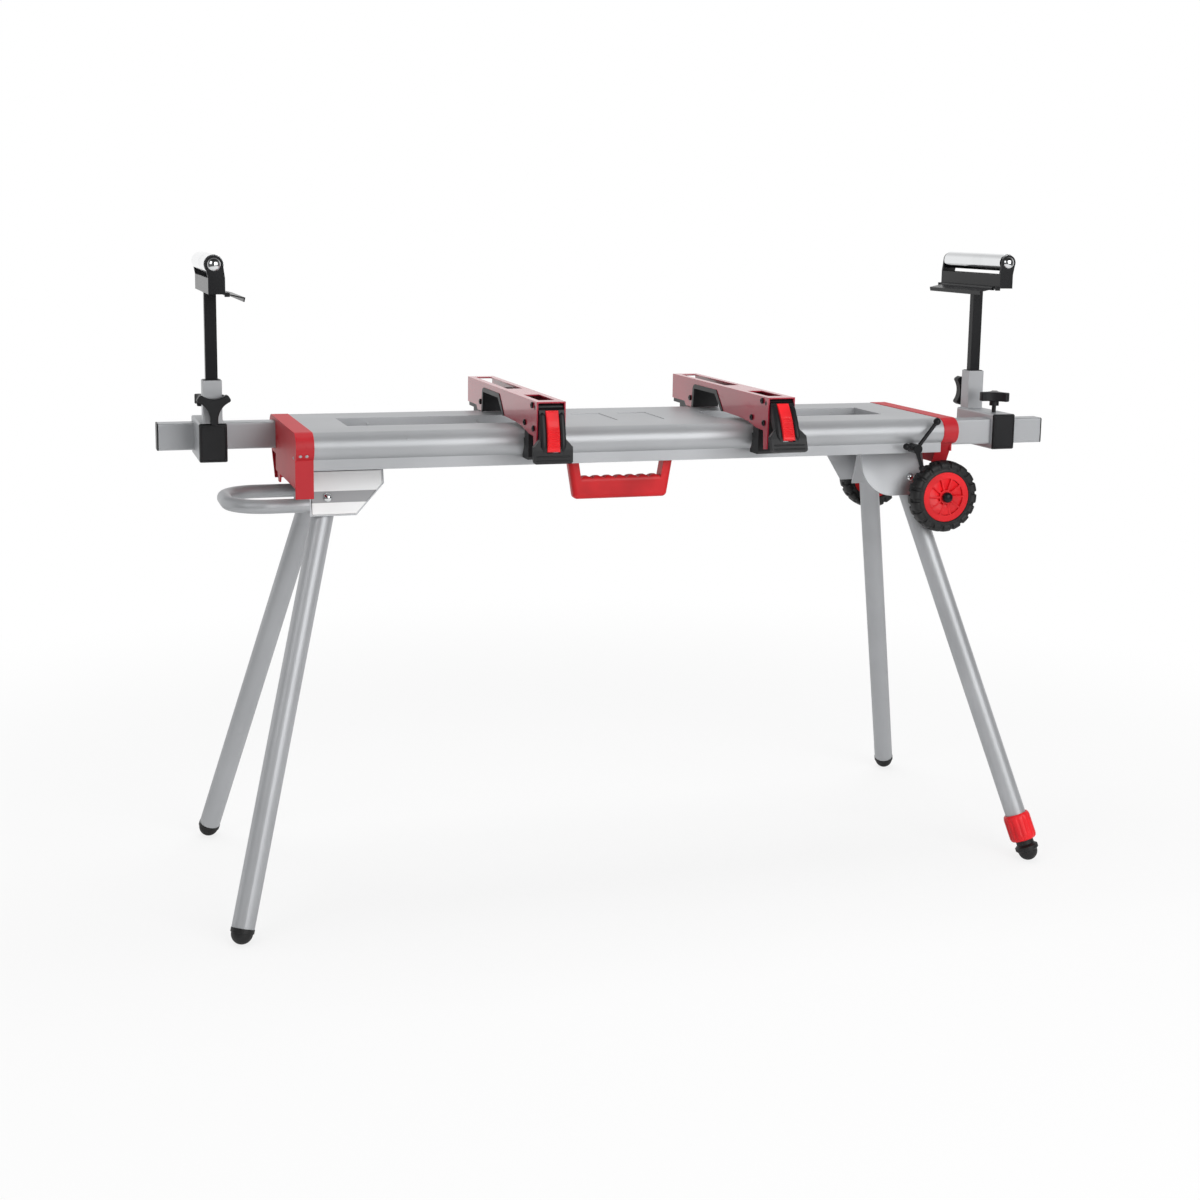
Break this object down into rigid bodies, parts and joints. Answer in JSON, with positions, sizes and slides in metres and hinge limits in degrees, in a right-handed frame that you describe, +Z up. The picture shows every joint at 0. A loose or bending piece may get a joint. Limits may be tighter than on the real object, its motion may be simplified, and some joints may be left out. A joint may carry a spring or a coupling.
{
  "type": "mitre saw stand",
  "caption": "Folding mitre saw stand: silver twin-rail beam with red quick-clamp saw brackets, sliding extension tubes, roller work supports, splayed legs and transport wheels.",
  "frame": {"origin": "on the floor, under the middle of the stand's outline", "axes": "X along the beam with the wheels at +X, Y across it with the clamp levers at -Y, Z up"},
  "size_m": [1.629, 0.6257, 1.123],
  "materials": {
    "frame_silver": "satin silver paint",
    "leg_silver": "satin silver paint",
    "cap_red": "gloss red powder coat",
    "bracket_red": "gloss red powder coat",
    "plastic_red": "satin moulded plastic",
    "plastic_black": "satin moulded plastic",
    "rubber_black": "matt rubber",
    "steel_black": "satin black paint",
    "chrome": "polished chrome plate"
  },
  "bodies": {
    "frame": {"rail_front": "frame_silver", "rail_rear": "frame_silver", "cross_members": "frame_silver", "end_cap_left": "cap_red", "end_cap_right": "cap_red", "tube_guides": "plastic_black", "leg_bracket_left": "frame_silver", "leg_bracket_right": "frame_silver", "leg_pivot_pins": "chrome", "lift_handle": "frame_silver", "carry_handle": "plastic_red", "wheel_axle": "chrome"},
    "leg_front_left_body": {"leg_front_left": "leg_silver", "foot_front_left": "rubber_black"},
    "lock_button_front_left_body": {"lock_button_front_left": "chrome"},
    "leg_rear_left_body": {"leg_rear_left": "leg_silver", "foot_rear_left": "rubber_black"},
    "lock_button_rear_left_body": {"lock_button_rear_left": "chrome"},
    "leg_front_right_body": {"leg_front_right": "leg_silver"},
    "lock_button_front_right_body": {"lock_button_front_right": "chrome"},
    "leg_rear_right_body": {"leg_rear_right": "leg_silver", "foot_rear_right": "rubber_black"},
    "lock_button_rear_right_body": {"lock_button_rear_right": "chrome"},
    "foot_collar_body": {"foot_collar": "plastic_red"},
    "adjustable_foot_body": {"adjustable_foot": "rubber_black"},
    "wheel_front_body": {"wheel_tyre_front": "rubber_black", "wheel_hub_front": "plastic_red"},
    "wheel_rear_body": {"wheel_tyre_rear": "rubber_black", "wheel_hub_rear": "plastic_red"},
    "extension_left": {"extension_tube_left": "frame_silver", "tube_ends_left": "plastic_black"},
    "extension_lock_left": {"extension_lock_lever_left": "steel_black"},
    "support_left": {"saddle_left": "frame_silver", "saddle_plastics_left": "plastic_black"},
    "post_left": {"support_post_left": "steel_black"},
    "roller_left_body": {"roller_left": "chrome"},
    "stop_flap_left_body": {"stop_flap_left": "steel_black"},
    "post_knob_left_body": {"post_knob_left": "plastic_black"},
    "saddle_knob_left_body": {"saddle_knob_left": "plastic_black"},
    "extension_right": {"extension_tube_right": "frame_silver", "tube_ends_right": "plastic_black"},
    "extension_lock_right": {"extension_lock_lever_right": "steel_black"},
    "support_right": {"saddle_right": "frame_silver", "saddle_plastics_right": "plastic_black"},
    "post_right": {"support_post_right": "steel_black"},
    "roller_right_body": {"roller_right": "chrome"},
    "stop_flap_right_body": {"stop_flap_right": "steel_black"},
    "post_knob_right_body": {"post_knob_right": "plastic_black"},
    "saddle_knob_right_body": {"saddle_knob_right": "plastic_black"},
    "saw_bracket_left_body": {"saw_bracket_left": "bracket_red", "bracket_plastics_left": "plastic_black"},
    "clamp_lever_left_body": {"clamp_lever_left": "plastic_black"},
    "clamp_trigger_left_body": {"clamp_trigger_left": "plastic_red"},
    "clamp_jaw_left_body": {"clamp_jaw_left": "plastic_black"},
    "saw_bracket_right_body": {"saw_bracket_right": "bracket_red", "bracket_plastics_right": "plastic_black"},
    "clamp_lever_right_body": {"clamp_lever_right": "plastic_black"},
    "clamp_trigger_right_body": {"clamp_trigger_right": "plastic_red"},
    "clamp_jaw_right_body": {"clamp_jaw_right": "plastic_black"}
  },
  "joints": [
    {"name": "leg_front_left_fold", "type": "hinge", "parent": "frame", "child": "leg_front_left_body", "pos_m": [-0.54034, -0.05291, 0.728], "axis": [0, -0.958, 0.2867], "range_deg": [0, 104]},
    {"name": "lock_button_front_left_pull", "type": "slide", "parent": "frame", "child": "lock_button_front_left_body", "axis": [0, -0.958, 0.2867], "range_m": [0, 0.006], "stiffness_N_per_m": 400},
    {"name": "leg_rear_left_fold", "type": "hinge", "parent": "frame", "child": "leg_rear_left_body", "pos_m": [-0.54034, 0.05291, 0.728], "axis": [0, -0.958, -0.2867], "range_deg": [0, 104]},
    {"name": "lock_button_rear_left_pull", "type": "slide", "parent": "frame", "child": "lock_button_rear_left_body", "axis": [0, 0.958, 0.2867], "range_m": [0, 0.006], "stiffness_N_per_m": 400},
    {"name": "leg_front_right_fold", "type": "hinge", "parent": "frame", "child": "leg_front_right_body", "pos_m": [0.55254, -0.0808, 0.681], "axis": [0, 0.9521, -0.3059], "range_deg": [0, 104]},
    {"name": "lock_button_front_right_pull", "type": "slide", "parent": "frame", "child": "lock_button_front_right_body", "axis": [0, -0.9521, 0.3059], "range_m": [0, 0.006], "stiffness_N_per_m": 400},
    {"name": "leg_rear_right_fold", "type": "hinge", "parent": "frame", "child": "leg_rear_right_body", "pos_m": [0.55254, 0.0808, 0.681], "axis": [0, 0.9521, 0.3059], "range_deg": [0, 104]},
    {"name": "lock_button_rear_right_pull", "type": "slide", "parent": "frame", "child": "lock_button_rear_right_body", "axis": [0, 0.9521, 0.3059], "range_m": [0, 0.006], "stiffness_N_per_m": 400},
    {"name": "foot_collar_turn", "type": "hinge", "parent": "leg_front_right_body", "child": "foot_collar_body", "pos_m": [0.55254, -0.0808, 0.681], "axis": [0.24, -0.297, -0.9242], "range_deg": [0, 720]},
    {"name": "adjustable_foot_slide", "type": "slide", "parent": "leg_front_right_body", "child": "adjustable_foot_body", "axis": [0.24, -0.297, -0.9242], "range_m": [0, 0.016]},
    {"name": "wheel_front_spin", "type": "hinge", "parent": "frame", "child": "wheel_front_body", "pos_m": [0.592, 0, 0.674], "axis": [0, 1, 0], "continuous": true},
    {"name": "wheel_rear_spin", "type": "hinge", "parent": "frame", "child": "wheel_rear_body", "pos_m": [0.592, 0, 0.674], "axis": [0, 1, 0], "continuous": true},
    {"name": "extension_left_slide", "type": "slide", "parent": "frame", "child": "extension_left", "axis": [-1, 0, 0], "range_m": [0, 0.62]},
    {"name": "extension_lock_left_turn", "type": "hinge", "parent": "frame", "child": "extension_lock_left", "pos_m": [-0.519, 0.15, 0.768], "axis": [0, -1, 0], "range_deg": [-30, 30]},
    {"name": "support_left_slide", "type": "slide", "parent": "extension_left", "child": "support_left", "axis": [-1, 0, 0], "range_m": [-0.07, 0.055]},
    {"name": "post_left_slide", "type": "slide", "parent": "support_left", "child": "post_left", "axis": [0, 0, 1], "range_m": [-0.04, 0.08]},
    {"name": "roller_left_spin", "type": "hinge", "parent": "post_left", "child": "roller_left_body", "pos_m": [-0.732, 0, 1.093], "axis": [0, 1, 0], "continuous": true},
    {"name": "stop_flap_left_turn", "type": "hinge", "parent": "post_left", "child": "stop_flap_left_body", "pos_m": [-0.71, 0, 1.0445], "axis": [0, -1, 0], "range_deg": [0, 102]},
    {"name": "post_knob_left_turn", "type": "hinge", "parent": "support_left", "child": "post_knob_left_body", "pos_m": [-0.7285, -0.0175, 0.854], "axis": [0, -1, 0], "range_deg": [-180, 180]},
    {"name": "saddle_knob_left_turn", "type": "hinge", "parent": "support_left", "child": "saddle_knob_left_body", "pos_m": [-0.7285, 0.09, 0.845], "axis": [0, 0, 1], "range_deg": [-180, 180]},
    {"name": "extension_right_slide", "type": "slide", "parent": "frame", "child": "extension_right", "axis": [1, 0, 0], "range_m": [0, 0.62]},
    {"name": "extension_lock_right_turn", "type": "hinge", "parent": "frame", "child": "extension_lock_right", "pos_m": [0.519, -0.15, 0.768], "axis": [0, 1, 0], "range_deg": [-30, 30]},
    {"name": "support_right_slide", "type": "slide", "parent": "extension_right", "child": "support_right", "axis": [1, 0, 0], "range_m": [-0.07, 0.055]},
    {"name": "post_right_slide", "type": "slide", "parent": "support_right", "child": "post_right", "axis": [0, 0, 1], "range_m": [-0.04, 0.08]},
    {"name": "roller_right_spin", "type": "hinge", "parent": "post_right", "child": "roller_right_body", "pos_m": [0.73, 0, 1.107], "axis": [0, 1, 0], "continuous": true},
    {"name": "stop_flap_right_turn", "type": "hinge", "parent": "post_right", "child": "stop_flap_right_body", "pos_m": [0.708, 0, 1.0585], "axis": [0, 1, 0], "range_deg": [0, 102]},
    {"name": "post_knob_right_turn", "type": "hinge", "parent": "support_right", "child": "post_knob_right_body", "pos_m": [0.7265, 0.0175, 0.854], "axis": [0, 1, 0], "range_deg": [-180, 180]},
    {"name": "saddle_knob_right_turn", "type": "hinge", "parent": "support_right", "child": "saddle_knob_right_body", "pos_m": [0.7265, -0.09, 0.845], "axis": [0, 0, 1], "range_deg": [-180, 180]},
    {"name": "saw_bracket_left_slide", "type": "slide", "parent": "frame", "child": "saw_bracket_left_body", "axis": [1, 0, 0], "range_m": [-0.2, 0.15]},
    {"name": "clamp_lever_left_swing", "type": "hinge", "parent": "saw_bracket_left_body", "child": "clamp_lever_left_body", "pos_m": [-0.204, -0.238, 0.865], "axis": [-1, 0, 0], "range_deg": [0, 45]},
    {"name": "clamp_trigger_left_press", "type": "hinge", "parent": "clamp_lever_left_body", "child": "clamp_trigger_left_body", "pos_m": [-0.204, -0.249, 0.853], "axis": [1, 0, 0], "range_deg": [0, 4], "stiffness_Nm_per_rad": 0.5, "springref_deg": -5.73},
    {"name": "clamp_jaw_left_slide", "type": "slide", "parent": "saw_bracket_left_body", "child": "clamp_jaw_left_body", "axis": [0, -1, 0], "range_m": [0, 0.03401]},
    {"name": "saw_bracket_right_slide", "type": "slide", "parent": "frame", "child": "saw_bracket_right_body", "axis": [1, 0, 0], "range_m": [-0.15, 0.22]},
    {"name": "clamp_lever_right_swing", "type": "hinge", "parent": "saw_bracket_right_body", "child": "clamp_lever_right_body", "pos_m": [0.212, -0.238, 0.865], "axis": [-1, 0, 0], "range_deg": [-17, 28]},
    {"name": "clamp_trigger_right_press", "type": "hinge", "parent": "clamp_lever_right_body", "child": "clamp_trigger_right_body", "pos_m": [0.212, -0.25203, 0.85674], "axis": [1, 0, 0], "range_deg": [0, 4], "stiffness_Nm_per_rad": 0.5, "springref_deg": -5.73},
    {"name": "clamp_jaw_right_slide", "type": "slide", "parent": "saw_bracket_right_body", "child": "clamp_jaw_right_body", "axis": [0, -1, 0], "range_m": [-0.01285, 0.02117]}
  ],
  "couplings": [
    {"joint": "adjustable_foot_slide", "follows": "foot_collar_turn", "m_per_rad": 0.0012732},
    {"joint": "clamp_jaw_left_slide", "follows": "clamp_lever_left_swing", "m_per_rad": 0.04329},
    {"joint": "clamp_jaw_right_slide", "follows": "clamp_lever_right_swing", "m_per_rad": 0.04329}
  ]
}
